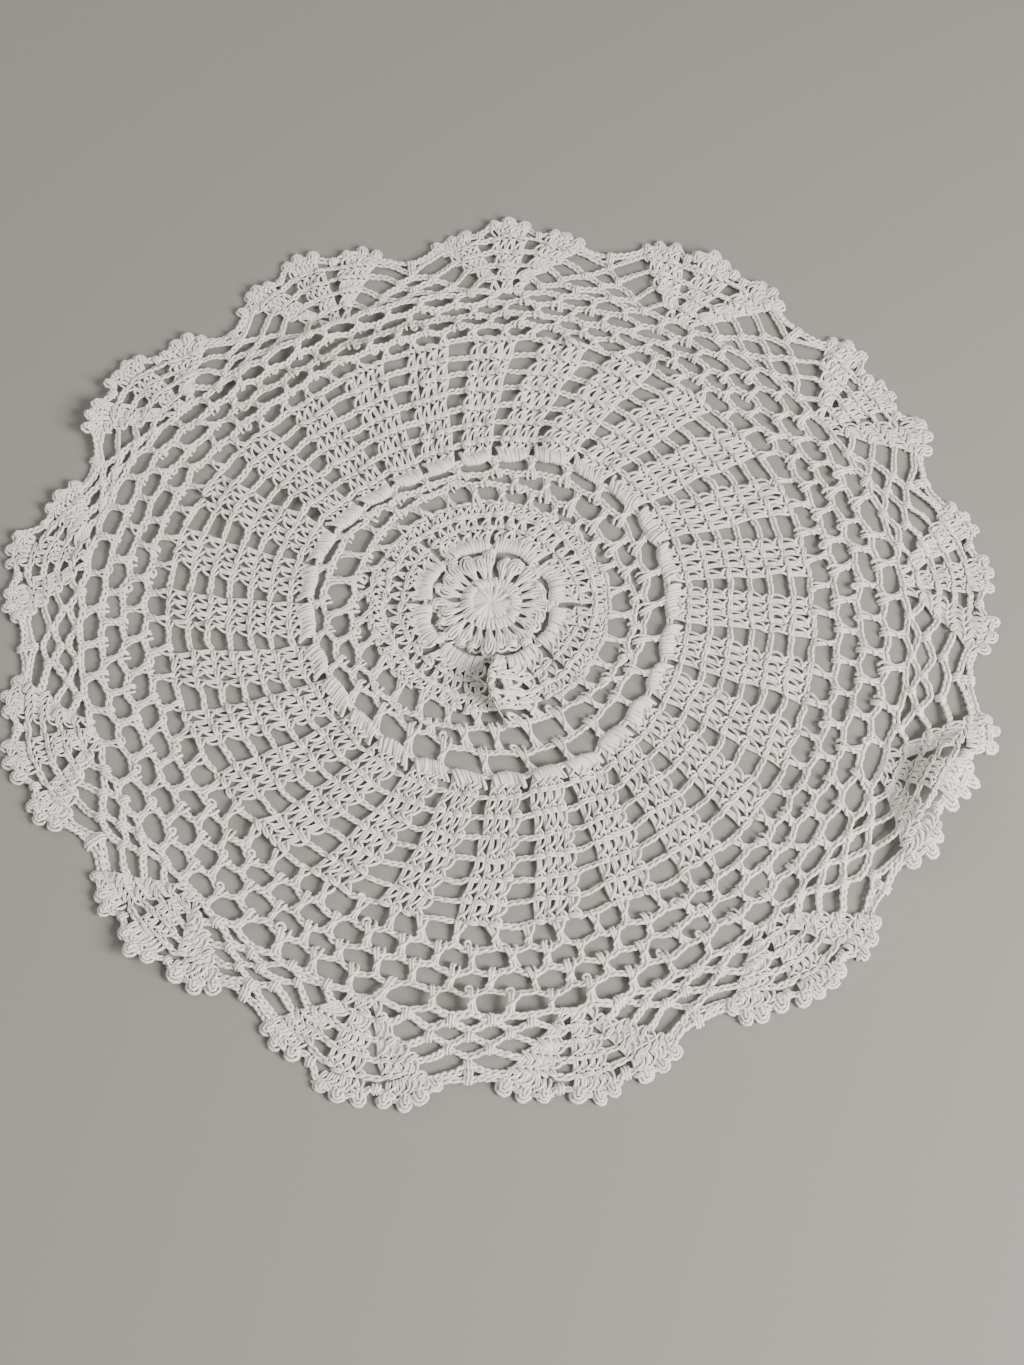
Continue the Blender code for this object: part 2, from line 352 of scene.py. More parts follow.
def stitch_shapes():
    """A collection with the thread paths of each kind of stitch, in the order of the kinds."""
    collection = bpy.data.collections.new("stitch_shapes")
    for kind, make in enumerate(SHAPES):
        name = f"{kind}_{make.__name__}"
        paths = bpy.data.curves.new(name, "CURVE")
        paths.dimensions = "3D"
        for closed, points in make():
            spline = paths.splines.new("POLY")
            spline.points.add(len(points) - 1)
            spline.use_cyclic_u = closed
            for point, place in zip(spline.points, points):
                point.co = (*(MM * c for c in place), 1.0)
        collection.objects.link(bpy.data.objects.new(name, paths))
    return collection


class Crochet:
    """The stitches of one piece: kind, place, turn and size of each."""

    def __init__(self, seed):
        self.kinds, self.places, self.turns, self.sizes = [], [], [], []
        self.random = np.random.default_rng(seed)

    def drift(self, amount):
        """A small uneven step in plan, in mm."""
        return self.random.normal(0.0, amount, 2).clip(-2.2 * amount, 2.2 * amount)

    def stitch(self, kind, foot, head, width=1.0, lift=0.0):
        """A stitch from foot to head in plan."""
        along = np.asarray(head) - np.asarray(foot)
        self.kinds.append(kind)
        self.places.append((foot[0] * MM, foot[1] * MM, lift * MM))
        self.turns.append((0.0, 0.0, math.atan2(along[1], along[0]) - math.pi / 2))
        self.sizes.append((width, float(np.hypot(*along)) / LENGTH[kind], 1.0))

    def tall(self, foot, head, width=1.0, lift=0.0, kinds=(TALL, TALL_SLACK)):
        """A tall stitch, one in three of them slack."""
        self.stitch(kinds[self.random.random() < 0.33], foot, head, width, lift)

    def post(self, foot, head, width):
        """A net post, one in three of them with a loose loop at its foot."""
        self.tall(foot, head, width, kinds=(POST, POST_LOOPED))

    def knot(self, place, outwards, size=1.0):
        """A short stitch centred on a place."""
        self.stitch(KNOT, place, place + LENGTH[KNOT] * size * outwards, size, 0.1)

    def chain(self, path, width=1.0, lift=0.0, links=None):
        """Chains along a smooth path through a few points."""
        line = smooth(path)
        steps = np.hypot(*np.diff(line, axis=0).T)
        reach = np.concatenate(([0.0], np.cumsum(steps)))
        count = links or max(1, round(reach[-1] / LENGTH[CHAIN]))
        marks = np.linspace(0.0, reach[-1], count + 1)
        knots = np.stack([np.interp(marks, reach, line[:, axis]) for axis in (0, 1)], axis=1)
        for foot, head in zip(knots, knots[1:]):
            self.stitch(CHAIN, foot, head, CHAIN_WIDTH * width, lift)


def smooth(path, steps=8):
    """A curve through the path's points, with its ends kept."""
    path = np.asarray(path, float)
    if len(path) == 2:
        return path
    padded = np.concatenate((2 * path[:1] - path[1:2], path, 2 * path[-1:] - path[-2:-1]))
    line = []
    for points in zip(padded, padded[1:], padded[2:], padded[3:]):
        line += [curve(*points, t) for t in np.arange(steps) / steps]
    line.append(path[-1])
    return np.array(line)


# ---------------- the rounds of the doily


def crochet_rosette():
    """The closed middle: a wheel and its rim, petals with a stitch tied over each, shells, and
    two openwork rounds."""
    work = Crochet(11)
    for spoke in range(WHEEL_SPOKES):
        deg = 360.0 / WHEEL_SPOKES * spoke + work.random.normal(0.0, 1.0)
        work.stitch(STRAND, spot(0.4, deg + 60.0), spot(WHEEL_EDGE, deg) + work.drift(0.1), 1.6,
                    work.random.uniform(0.2, 0.4))
    for spoke in range(RIM_STRANDS):
        deg = 360.0 / RIM_STRANDS * spoke + work.random.normal(0.0, 0.6)
        work.stitch(ROLLED, spot(RIM_INSIDE, deg), spot(RIM_EDGE, deg + 5.0) + work.drift(0.15), 1.4)
    for leaf in range(PETALS):
        deg = 360.0 / PETALS * leaf - 1.5 + work.random.normal(0.0, 1.3)
        reach = LONG_PETAL if leaf % PETALS_PER_TIP == 0 else work.random.uniform(*SHORT_PETAL)
        work.stitch(PETAL, spot(PETAL_FOOT, deg - 2.0), spot(reach, deg),
                    work.random.uniform(1.0, 1.15), work.random.uniform(0.0, 0.3))
        crown = spot(reach - 1.6, deg) + work.drift(0.4)  # a stitch tied over the petal
        across = heading(deg + work.random.uniform(30.0, 150.0))
        work.stitch(KNOT, crown - 1.2 * across, crown + 1.2 * across, 1.0, 0.45)
    turn = 360.0 / SHELLS
    for shell in range(SHELLS):
        start = turn * shell - 1.0
        base = [spot(SHELL_CHAIN + 0.7 * math.sin(math.pi * t), start + turn * t)
                for t in (0.03, 0.2, 0.4, 0.6, 0.8, 0.97)]
        work.chain(base, 1.0, 0.1)
        for share in shares(SHELL_STITCHES):
            foot = spot(SHELL_FOOT, start + 3.0 + 38.0 * share)
            head = spot(SHELL_HEAD, start + 0.5 + 43.0 * share) + work.drift(0.3)
            work.tall(foot, head, 1.05, 0.2)
        for share in shares(SHELL_STRANDS):  # strands over the shell's base
            deg = start + 3.0 + 39.0 * share
            out = 0.6 * math.sin(math.pi * share)
            foot = spot(SHELL_STRAND_FOOT + out, deg)
            head = spot(SHELL_STRAND_FOOT + 4.4 + out, deg) + work.drift(0.2)
            work.stitch(ROLLED, foot, head, 1.2)
        for share in shares(SHELL_STITCHES):  # the two openwork rounds
            foot = spot(TALL_ROUND_FOOT, start + 1.0 + 43.0 * share) + work.drift(0.2)
            head = spot(TALL_ROUND_HEAD, start + turn * share) + work.drift(0.45)
            work.tall(foot, head, work.random.uniform(0.85, 1.1))
            ahead = spot(TALL_ROUND_HEAD, start + turn * (share + 1.0 / SHELL_STITCHES))
            work.chain([head, ahead], 0.9, 0.2)
            space = start + turn * (share + 0.5 / SHELL_STITCHES)
            for side in (-1.0, 1.0):  # a pair of stitches round each space
                low = spot(PAIR_FOOT, space + 1.6 * side) + work.drift(0.2)
                high = spot(ROSETTE_EDGE, space + 1.8 * side) + work.drift(0.4)
                work.tall(low, high, 0.86)
    return work


def bowed_chains(work, heads, full_turn, bows, where):
    """Five chains from each head of a round to the next, bowed outwards."""
    for here, there in zip(heads, heads[1:] + [heads[0] + full_turn]):
        points = ((here, 0.0), (0.5 * (here + there), work.random.uniform(*bows)), (there, 0.0))
        work.chain([where(place, out) for place, out in points], 1.0, 0.1, links=5)


def inner_radius(level, deg):
    """Radii of the inner net's three chains, in and out three times round."""
    wave = math.cos(math.radians(3 * (deg - 48.0)))
    return (ROSETTE_EDGE, 41.7 - 1.0 * wave, 47.5 + 1.9 * wave, around("inner_net", deg))[level]


def crochet_inner_net():
    """Three rounds of oblong meshes, each round half a mesh on from the last."""
    work = Crochet(12)
    pitch = 360.0 / PANELS
    for level in (1, 2, 3):
        offset = 0.5 * (level % 2)
        steps = work.random.normal(0.0, 0.045, PANELS).clip(-0.1, 0.1)
        heads = []
        for mesh in range(PANELS):
            deg = (mesh + offset + steps[mesh]) * pitch + 2.0 * level
            foot_deg = (mesh + offset) * pitch + 2.0 * level - 2.0
            head = spot(inner_radius(level, deg) - 0.6, deg)
            foot = spot(inner_radius(level - 1, foot_deg), foot_deg)
            work.post(foot, head, work.random.uniform(0.85, 1.15))
            heads.append(deg)
        bowed_chains(work, heads, 360.0, (0.5, 1.5),
                     lambda deg, out: spot(inner_radius(level, deg) + out, deg))
    return work


def ladder_deg(ladder, rise):
    """The angle of a ladder gap, from its foot (rise 0) to its head (rise 1)."""
    deg = 360.0 * ladder / PANELS
    head = deg + 5.2 - 1.8 * math.cos(math.radians(deg)) + 0.65 * math.sin(math.radians(deg))
    lean = (5.3 + 3.0 * math.cos(math.radians(2 * (head - 235.0)))
            - 1.2 * math.cos(math.radians(head - 10.0)))
    return head + (1.0 - rise) * lean


def row_radius(row, deg):
    """Radius of a panel row's foot at any angle."""
    inside, outside = around("inner_net", deg), around("panels", deg)
    return inside + 0.6 + (outside - inside - 0.6) * row / PANEL_ROWS


def crochet_panel_rows(first, last, seed):
    """Rows of the leaning panels, with chains across the ladder gaps between them."""
    work = Crochet(seed)
    for row in range(first, last):
        low, high = row / PANEL_ROWS, (row + 1) / PANEL_ROWS
        gap = FIRST_GAP + GAP_GROWTH * (row / (PANEL_ROWS - 1))
        gap_below = FIRST_GAP + GAP_GROWTH * (max(row - 1, 0) / (PANEL_ROWS - 1))
        for panel in range(PANELS):
            sides = []
            for rise, opening in ((low, gap_below), (high, gap)):
                start, end = ladder_deg(panel, rise), ladder_deg(panel + 1, rise)
                radius = row_radius(rise * PANEL_ROWS, 0.5 * (start + end))
                half = math.degrees(0.5 * opening / radius)
                sides.append((start + half, end - half))
            (foot_start, foot_end), (head_start, head_end) = sides
            for share in shares(PANEL_STITCHES):
                foot_deg = foot_start + share * (foot_end - foot_start)
                head_deg = head_start + share * (head_end - head_start)
                head_radius = row_radius(row + 1, head_deg)
                pitch = math.radians(head_end - head_start) * head_radius / PANEL_STITCHES
                foot = spot(row_radius(row, foot_deg), foot_deg) + work.drift(0.08)
                head = spot(head_radius - 0.25, head_deg) + work.drift(0.12)
                work.tall(foot, head, pitch / TALL_WIDTH)
            if row == 0:
                roll_over_chain(work, foot_start, foot_end)
            next_start = ladder_deg(panel + 1, high)
            radius = row_radius(row + 1, next_start)
            half = math.degrees(0.5 * gap / radius)
            sag = work.random.normal(0.0, 0.25)
            path = [spot(radius, next_start - half), spot(radius + sag, next_start),
                    spot(radius, next_start + half)]
            work.chain(path, 0.92, 0.15, links=max(1, round(gap / 2.1)))
    return work


def roll_over_chain(work, start, end):
    """The crowded strands of a panel's first row, rolled over the chain that holds them."""
    for share in shares(PANEL_STRANDS):
        deg = start + share * (end - start)
        radius = row_radius(0, deg) - 1.5 * math.sin(math.pi * share) ** 0.5
        head = spot(radius + 4.2, deg + 1.5) + work.drift(0.2)
        work.stitch(ROLLED, spot(radius, deg), head, 1.25)


def net_radius(level, deg):
    """Radius of an outer-net round's chains at any angle."""
    inside, outside = around("panels", deg), around("outer_net", deg)
    return inside + (outside - inside) * level / NET_ROUNDS


def crochet_outer_net():
    """Four rounds of brick-laid meshes: a splayed post, then chains bowed outwards."""
    work = Crochet(15)
    count = MESHES_PER_SCALLOP * len(SCALLOPS)
    for level in range(1, NET_ROUNDS + 1):
        offset = 0.5 * ((NET_ROUNDS - level) % 2)
        steps = work.random.normal(0.0, 0.08, count).clip(-0.16, 0.16)
        heads = []
        for mesh in range(count):
            place = (mesh + offset + steps[mesh]) / MESHES_PER_SCALLOP
            foot_place = (mesh + offset) / MESHES_PER_SCALLOP
            foot_deg, deg = scallop_deg(foot_place), scallop_deg(place)
            foot = spot(net_radius(level - 1, foot_deg) + 0.5, foot_deg) + work.drift(0.3)
            head = spot(net_radius(level, deg) - 0.5, deg)
            work.post(foot, head, work.random.uniform(0.85, 1.2))
            heads.append(place)
        bowed_chains(work, heads, len(SCALLOPS), (0.7, 1.7), lambda place, out: spot(
            net_radius(level, scallop_deg(place)) + out, scallop_deg(place)))
    return work


def fan_tips(number):
    """How far each of a scallop's three fans reaches."""
    row = SCALLOPS[number % len(SCALLOPS)]
    return row.first, row.middle, row.last


def block_radius(number, place, level):
    """Radius of a block row's top: four rows between the net and the foot of the fans."""
    knots = (0.0, *FAN_PLACES, 1.0)
    tips = fan_tips(number)
    tip = float(np.interp(place, knots, (tips[0], *tips, tips[2])))
    net = around("outer_net", scallop_deg(number + place))
    return net + 0.6 + (tip - FAN_DEPTH - net) * level / (len(BLOCK_LEVELS) - 1)


def block_spot(number, place, level, out=0.0):
    """Plan position on a block row's top, in mm."""
    return spot(block_radius(number, place, level) + out, scallop_deg(number + place))


def crochet_blocks():
    """The three widening blocks of each scallop, with chains across the gaps between them."""
    work = Crochet(16)
    for number in range(len(SCALLOPS)):
        for row in range(1, len(BLOCK_LEVELS)):
            below, above = BLOCK_LEVELS[row - 1], BLOCK_LEVELS[row]
            spans = ((-below.middle, below.middle, -above.middle, above.middle),
                     (below.near, below.far, above.near, above.far),
                     (-below.far, -below.near, -above.far, -above.near))
            for foot_start, foot_end, head_start, head_end in spans:
                width = (head_end - head_start) * SCALLOP_WIDTH
                for share in shares(max(1, round(width / BLOCK_STITCH))):
                    foot_place = BLOCK_MIDDLE + foot_start + share * (foot_end - foot_start)
                    head_place = BLOCK_MIDDLE + head_start + share * (head_end - head_start)
                    foot = block_spot(number, foot_place, row - 1) + work.drift(0.1)
                    head = block_spot(number, head_place, row, -0.3) + work.drift(0.15)
                    work.tall(foot, head, 1.0)
            for side in (-1.0, 1.0):
                path = [block_spot(number, BLOCK_MIDDLE + side * above.middle, row),
                        block_spot(number, BLOCK_MIDDLE + side * above.near, row)]
                work.chain(path, 0.95, 0.15)
    return work


def valley_radius(number, height):
    """Radius at a valley, from the net (0) to the edge (1)."""
    row = SCALLOPS[number % len(SCALLOPS)]
    return row.outer_net + height * (row.valley - row.outer_net)


def crochet_loops():
    """The narrowing rows of chain loops between two scallops' blocks."""
    work = Crochet(17)
    for number in range(len(SCALLOPS)):
        for index, loops in enumerate(LOOP_ROWS):
            level = BLOCK_LEVELS[index + 1]
            joints = []
            for place in loops.joints:
                deg = scallop_deg(number + place)
                joint = spot(valley_radius(number, loops.joint), deg) + work.drift(0.55)
                work.knot(joint, heading(deg))
                joints.append((place, joint))
            for (here, start), (there, end) in zip(joints, joints[1:]):
                deg = scallop_deg(number + 0.5 * (here + there))
                crown = spot(valley_radius(number, loops.crown) + work.random.uniform(-0.3, 0.5), deg)
                work.chain([start, crown, end], 1.0, 0.1, links=6)
            share = 0.495 - level.far
            for scallop, place, (_, joint) in ((number - 1, 1.0 - share, joints[0]),
                                               (number, share, joints[-1])):
                end = block_spot(scallop, place, index + 1)
                middle = 0.5 * (joint + end)
                bow = unit(middle) * work.random.uniform(0.1, 0.9)
                work.chain([joint, middle + bow, end], 1.0, 0.1)
    return work


def crochet_edging():
    """Fans of tall stitches, with three or four picots each, and chains down into the valleys."""
    work = Crochet(18)
    last_row = len(BLOCK_LEVELS) - 1
    for number in range(len(SCALLOPS)):
        ends = []
        for place, reach in zip(FAN_PLACES, fan_tips(number)):
            deg = scallop_deg(number + place)
            turn = math.radians(deg + FAN_TURN * (place - BLOCK_MIDDLE))
            outwards = np.array((math.cos(turn), math.sin(turn)))
            across = np.array((-outwards[1], outwards[0]))
            foot = block_spot(number, place + (BLOCK_MIDDLE - place) * 0.12, last_row, 0.3)
            head = spot(reach - 3.6, deg)
            for stitch in range(FAN_STITCHES):
                share = (stitch - 2.5) / 2.5
                low = foot + across * 4.0 * share
                high = head + across * (5.6 * share) - outwards * (1.4 * share * share)
                work.tall(low, high + work.drift(0.2), 1.0)
            four = work.random.random() < 0.25
            for bead in (-1.5, -0.5, 0.5, 1.5) if four else (-1.1, 0.0, 1.1):
                base = (head + across * 4.0 * bead - outwards * (0.9 + 0.95 * bead * bead)
                        + work.drift(0.3))
                size = work.random.uniform(1.05, 1.25)
                tip = base + unit(outwards + across * 0.30 * bead) * LENGTH[PICOT] * size
                work.stitch(PICOT, base, tip, size, 0.1)
            ends.append([head + across * (6.4 * side) - outwards * 2.4 for side in (-1.0, 1.0)])
        for left, right in zip(ends, ends[1:]):  # a dipping chain from fan to fan
            middle = 0.5 * (left[1] + right[0])
            dip = middle - unit(middle) * 1.4
            work.chain([left[1], dip, right[0]], 0.95, 0.2)
            work.knot(dip, unit(middle))
        for side, start in ((0, ends[0][0]), (1, ends[2][1])):
            valley = number + side
            joint = spot(valley_radius(valley, 0.96), scallop_deg(float(valley)))
            middle = 0.5 * (start + joint)
            work.chain([start, middle - unit(middle) * 0.7, joint], 1.05, 0.15)
        deg = scallop_deg(float(number))
        for height in (0.96, 0.86):
            work.knot(spot(valley_radius(number, height), deg), heading(deg), 1.1)
    return work


# ---------------- geometry nodes


def add_node(tree, kind, inputs=None, **settings):
    """Makes a node with its settings; each input is given a value or linked to a socket."""
    node = tree.nodes.new(kind)
    for name, value in settings.items():
        setattr(node, name, value)
    for name, value in (inputs or {}).items():
        if isinstance(value, bpy.types.NodeSocket):
            tree.links.new(value, node.inputs[name])
        else:
            node.inputs[name].default_value = value
    return node.outputs


def calculate(tree, operation, *values):
    """The result of a sum on numbers or sockets."""
    return add_node(tree, "ShaderNodeMath", dict(enumerate(values)), operation=operation)[0]


def soft_step(tree, value, start, end):
    """0 up to a start and 1 from an end, smooth between them."""
    inputs = {"Value": value, "From Min": start, "From Max": end}
    return add_node(tree, "ShaderNodeMapRange", inputs, interpolation_type="SMOOTHSTEP")["Result"]


def combine(tree, operation, *vectors):
    """The result of a sum on vectors."""
    return add_node(tree, "ShaderNodeVectorMath", dict(enumerate(vectors)), operation=operation)[0]


def scaled(tree, vector, scale):
    """A vector made longer or shorter."""
    return add_node(tree, "ShaderNodeVectorMath", {0: vector, "Scale": scale}, operation="SCALE")[0]


def crochet_tree():
    """The tree that sweeps each stitch's paths with thread and sets the stitches in place."""
    tree = bpy.data.node_groups.new("Crochet stitches", "GeometryNodeTree")
    for name, kind, *default in (
            ("Geometry", "Geometry"), ("Stitch shapes", "Collection"),
            ("Thread radius", "Float", 0.0004), ("Thread sides", "Int", 5), ("Tilt", "Float", 0.1),
            ("Unevenness", "Float", 0.0003), ("Unevenness size", "Float", 0.004),
            ("Seed", "Int", 0), ("Material", "Material")):
        socket = tree.interface.new_socket(name, in_out="INPUT", socket_type="NodeSocket" + kind)
        if default:
            socket.default_value = default[0]
    tree.interface.new_socket("Geometry", in_out="OUTPUT", socket_type="NodeSocketGeometry")
    given = add_node(tree, "NodeGroupInput")

    # the thread, swept along every path, with its own coordinates along and round it
    shapes = add_node(tree, "GeometryNodeCollectionInfo", {
        "Collection": given["Stitch shapes"], "Separate Children": True, "Reset Children": True,
    }, transform_space="ORIGINAL")
    rail = add_node(tree, "GeometryNodeStoreNamedAttribute", {
        "Geometry": shapes["Instances"], "Name": "thread_along",
        "Value": add_node(tree, "GeometryNodeSplineParameter")["Length"],
    }, data_type="FLOAT", domain="POINT")
    circle = add_node(tree, "GeometryNodeCurvePrimitiveCircle", {
        "Resolution": given["Thread sides"], "Radius": given["Thread radius"]})
    here = add_node(tree, "GeometryNodeInputPosition")[0]
    profile = add_node(tree, "GeometryNodeStoreNamedAttribute", {
        "Geometry": circle["Curve"], "Name": "thread_round",
        "Value": combine(tree, "NORMALIZE", here),
    }, data_type="FLOAT_VECTOR", domain="POINT")
    sweep = add_node(tree, "GeometryNodeCurveToMesh", {
        "Curve": rail["Geometry"], "Profile Curve": profile["Geometry"], "Fill Caps": True})

    # each stitch's own place, turn and size, and a small tilt
    kind, turn, size = (
        add_node(tree, "GeometryNodeInputNamedAttribute", {"Name": name}, data_type=data)["Attribute"]
        for name, data in (("kind", "INT"), ("turn", "FLOAT_VECTOR"), ("size", "FLOAT_VECTOR")))
    tilt = add_node(tree, "FunctionNodeRandomValue", {
        0: scaled(tree, (-1.0, -1.0, -0.5), given["Tilt"]),
        1: scaled(tree, (1.0, 1.0, 0.5), given["Tilt"]),
        "Seed": given["Seed"],
    }, data_type="FLOAT_VECTOR")["Value"]
    place = add_node(tree, "GeometryNodeInstanceOnPoints", {
        "Points": given["Geometry"], "Instance": sweep["Mesh"], "Pick Instance": True,
        "Instance Index": kind, "Rotation": combine(tree, "ADD", turn, tilt), "Scale": size})
    real = add_node(tree, "GeometryNodeRealizeInstances", {"Geometry": place["Instances"]})

    # a slow wander of the whole lace off its chart
    noise = add_node(tree, "ShaderNodeTexNoise", {
        "Scale": calculate(tree, "DIVIDE", 1.0, given["Unevenness size"]), "Detail": 1.0,
        "W": given["Seed"],
    }, noise_dimensions="4D")
    wander = combine(tree, "SUBTRACT", noise["Color"], (0.5, 0.5, 0.5))
    settle = add_node(tree, "GeometryNodeSetPosition", {
        "Geometry": real["Geometry"],
        "Offset": scaled(tree, wander, given["Unevenness"])})
    shade = add_node(tree, "GeometryNodeSetShadeSmooth", {"Geometry": settle["Geometry"]})
    finish = add_node(tree, "GeometryNodeSetMaterial", {
        "Geometry": shade["Geometry"], "Material": given["Material"]})
    add_node(tree, "NodeGroupOutput", {"Geometry": finish["Geometry"]})
    return tree


def make_piece(work, name):
    sizes = bpy.context.scene.doily_sizes
    guide = bpy.data.meshes.new(name + "_guide")
    guide.from_pydata(work.places, [], [])
    for title, kind, key, rows in (("kind", "INT", "value", work.kinds),
                                   ("turn", "FLOAT_VECTOR", "vector", work.turns),
                                   ("size", "FLOAT_VECTOR", "vector", work.sizes)):
        layer = guide.attributes.new(title, kind, "POINT")
        layer.data.foreach_set(key, np.array(rows).ravel())
    maker = bpy.data.objects.new(name + "_guide", guide)
    bpy.context.scene.collection.objects.link(maker)
    shapes = stitch_shapes()
    tree = bpy.data.node_groups.get("Crochet stitches") or crochet_tree()
    modifier = maker.modifiers.new("Crochet", "NODES")
    modifier.node_group = tree
    values = {
        "Stitch shapes": shapes,
        "Thread radius": sizes.thread / 2,
        "Thread sides": sizes.thread_sides,
        "Tilt": sizes.tilt,
        "Unevenness": sizes.unevenness,
        "Unevenness size": sizes.unevenness_size,
        "Seed": sizes.seed,
        "Material": cotton_material(),
    }
    for item in tree.interface.items_tree:
        if item.in_out == "INPUT" and item.name in values:
            modifier[item.identifier] = values[item.name]
    graph = bpy.context.evaluated_depsgraph_get()
    mesh = bpy.data.meshes.new_from_object(maker.evaluated_get(graph), depsgraph=graph,
                                           preserve_all_data_layers=True)
    mesh.name = name
    lay_on_folds(mesh)
    bpy.data.objects.remove(maker)
    for shape in list(shapes.objects):
        bpy.data.objects.remove(shape)
    bpy.data.collections.remove(shapes)
    piece = bpy.data.objects.new(name, mesh)
    bpy.context.scene.collection.objects.link(piece)
    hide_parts("doily")
    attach(piece, "root")
    triangles = sum(len(face.vertices) - 2 for face in mesh.polygons)
    print(f"{name}: {len(work.kinds)} stitches, {triangles} triangles")


def lay_on_folds(mesh):
    """Lifts the lace by its folds and keeps every thread above the floor."""
    places = np.empty(len(mesh.vertices) * 3)
    mesh.vertices.foreach_get("co", places)
    places = places.reshape(-1, 3)
    places += MM * fold_shift(places[:, 0] / MM, places[:, 1] / MM).T
    places[:, 2] = places[:, 2].clip(ABOVE_FLOOR, None)
    mesh.vertices.foreach_set("co", places.ravel())
    mesh.update()


# ---------------- materials


TWIST_LENGTH = 0.0016
# painted shade in the grooves between a thread's plies
GROOVE_SHADE = (0.80, 0.785, 0.755, 1.0)
# painted shade: thread low down near the floor is painted darker
LOW_THREAD_SHADE = (0.50, 0.48, 0.44, 1.0)  # the thread nearest the floor, which is shaded most
SUNKEN_BELOW, LIT_ABOVE = 0.0002, 0.0021


def twisted_thread_group():
    """Plies of a twisted thread from its own along-and-round coordinates: a height, and a mask of the
    grooves between plies where shade is painted.
    """
    group = bpy.data.node_groups.new("Twisted thread", "ShaderNodeTree")
    face = group.interface
    for name, value in (("Plies", 3.0), ("Twist length", TWIST_LENGTH)):
        face.new_socket(name, in_out="INPUT", socket_type="NodeSocketFloat").default_value = value
    for name in ("Height", "Groove"):
        face.new_socket(name, in_out="OUTPUT", socket_type="NodeSocketFloat")
    given = add_node(group, "NodeGroupInput")
    section = add_node(group, "ShaderNodeAttribute", attribute_name="thread_round")["Vector"]
    along = add_node(group, "ShaderNodeAttribute", attribute_name="thread_along")["Fac"]
    split = add_node(group, "ShaderNodeSeparateXYZ", {0: section})
    turn = calculate(group, "ARCTAN2", split["Y"], split["X"])
    twists = calculate(group, "DIVIDE", along, given["Twist length"])
    spin = calculate(group, "MULTIPLY_ADD", twists, math.tau, turn)
    plies = calculate(group, "MULTIPLY", spin, calculate(group, "MULTIPLY", given["Plies"], 0.5))
    height = calculate(group, "ABSOLUTE", calculate(group, "SINE", plies))
    # mask of the grooves between plies, where the material paints shade
    groove_shade_mask = soft_step(group, height, 0.45, 0.0)
    add_node(group, "NodeGroupOutput", {"Height": height, "Groove": groove_shade_mask})
    return group


def tint(tree, amount, colour, by):
    """Painted shade: a colour multiplied by a darker one as far as an amount says."""
    return add_node(tree, "ShaderNodeMix", {0: amount, 6: colour, 7: by}, data_type="RGBA",
                    blend_type="MULTIPLY")[2]


def cotton_material():
    """Matt off-white cotton thread: twisted plies with painted shade in their grooves, fuzz, a faint
    mottle, and painted shade on the thread near the floor.
    """
    made = bpy.data.materials.get("cotton_thread")
    if made:
        return made
    colours = bpy.context.scene.doily_colours
    material = bpy.data.materials.new("cotton_thread")
    material.use_nodes = True
    tree = material.node_tree
    place = add_node(tree, "ShaderNodeTexCoord")["Object"]
    twist = add_node(tree, "ShaderNodeGroup", node_tree=twisted_thread_group())
    mottle = add_node(tree, "ShaderNodeTexNoise", {"Vector": place, "Scale": 45.0, "Detail": 3.0})
    fuzz = add_node(tree, "ShaderNodeTexNoise", {
        "Vector": place, "Scale": 3200.0, "Detail": 3.0, "Roughness": 0.65})

    tone = tree.nodes.new("ShaderNodeValToRGB")
    for stop, position, colour in zip(tone.color_ramp.elements, (0.35, 0.65),
                                      (colours.shaded_cotton, colours.cotton)):
        stop.position = position
        stop.color = (*colour, 1.0)
    tree.links.new(mottle["Fac"], tone.inputs["Fac"])
    # painted shade: the grooves between plies are darkened in the base colour
    groove_shaded = tint(tree, calculate(tree, "MULTIPLY", twist["Groove"], 0.7), tone.outputs["Color"],
                   GROOVE_SHADE)
    split = add_node(tree, "ShaderNodeSeparateXYZ", {0: place})
    # painted shade: the nearer the thread lies to the floor, the darker it is painted
    low = calculate(tree, "SUBTRACT", 1.0, soft_step(tree, split["Z"], SUNKEN_BELOW, LIT_ABOVE))
    twist_bump = add_node(tree, "ShaderNodeBump", {
        "Height": twist["Height"], "Strength": 0.7, "Distance": 0.00014})
    fuzz_bump = add_node(tree, "ShaderNodeBump", {
        "Height": fuzz["Fac"], "Strength": 0.5, "Distance": 0.00008, "Normal": twist_bump["Normal"]})

    shader = tree.nodes["Principled BSDF"]
    for name, value in (("Roughness", 0.85), ("Sheen Weight", 0.25), ("Sheen Roughness", 0.5),
                        ("Specular IOR Level", 0.25)):
        shader.inputs[name].default_value = value
    # the base colour carries both painted shades, in the ply grooves and near the floor
    tree.links.new(tint(tree, low, groove_shaded, LOW_THREAD_SHADE), shader.inputs["Base Color"])
    tree.links.new(fuzz_bump["Normal"], shader.inputs["Normal"])
    return material


# ---------------- add-on


class DoilySizes(bpy.types.PropertyGroup):
    thread: bpy.props.FloatProperty(
        name="Thread", description="Diameter of the cotton thread", default=0.00084,
        unit="LENGTH")
    thread_sides: bpy.props.IntProperty(
        name="Thread sides", description="Sides of the thread's section", default=5)
    tilt: bpy.props.FloatProperty(
        name="Tilt", description="How far single stitches lean out of line", default=0.11,
        subtype="ANGLE")
    unevenness: bpy.props.FloatProperty(
        name="Unevenness", description="How far the lace wanders from its chart",
        default=0.0028, unit="LENGTH")
    unevenness_size: bpy.props.FloatProperty(
        name="Unevenness size", description="Distance over which it wanders", default=0.009,
        unit="LENGTH")
    seed: bpy.props.IntProperty(name="Seed", description="Fixes what is random", default=4)


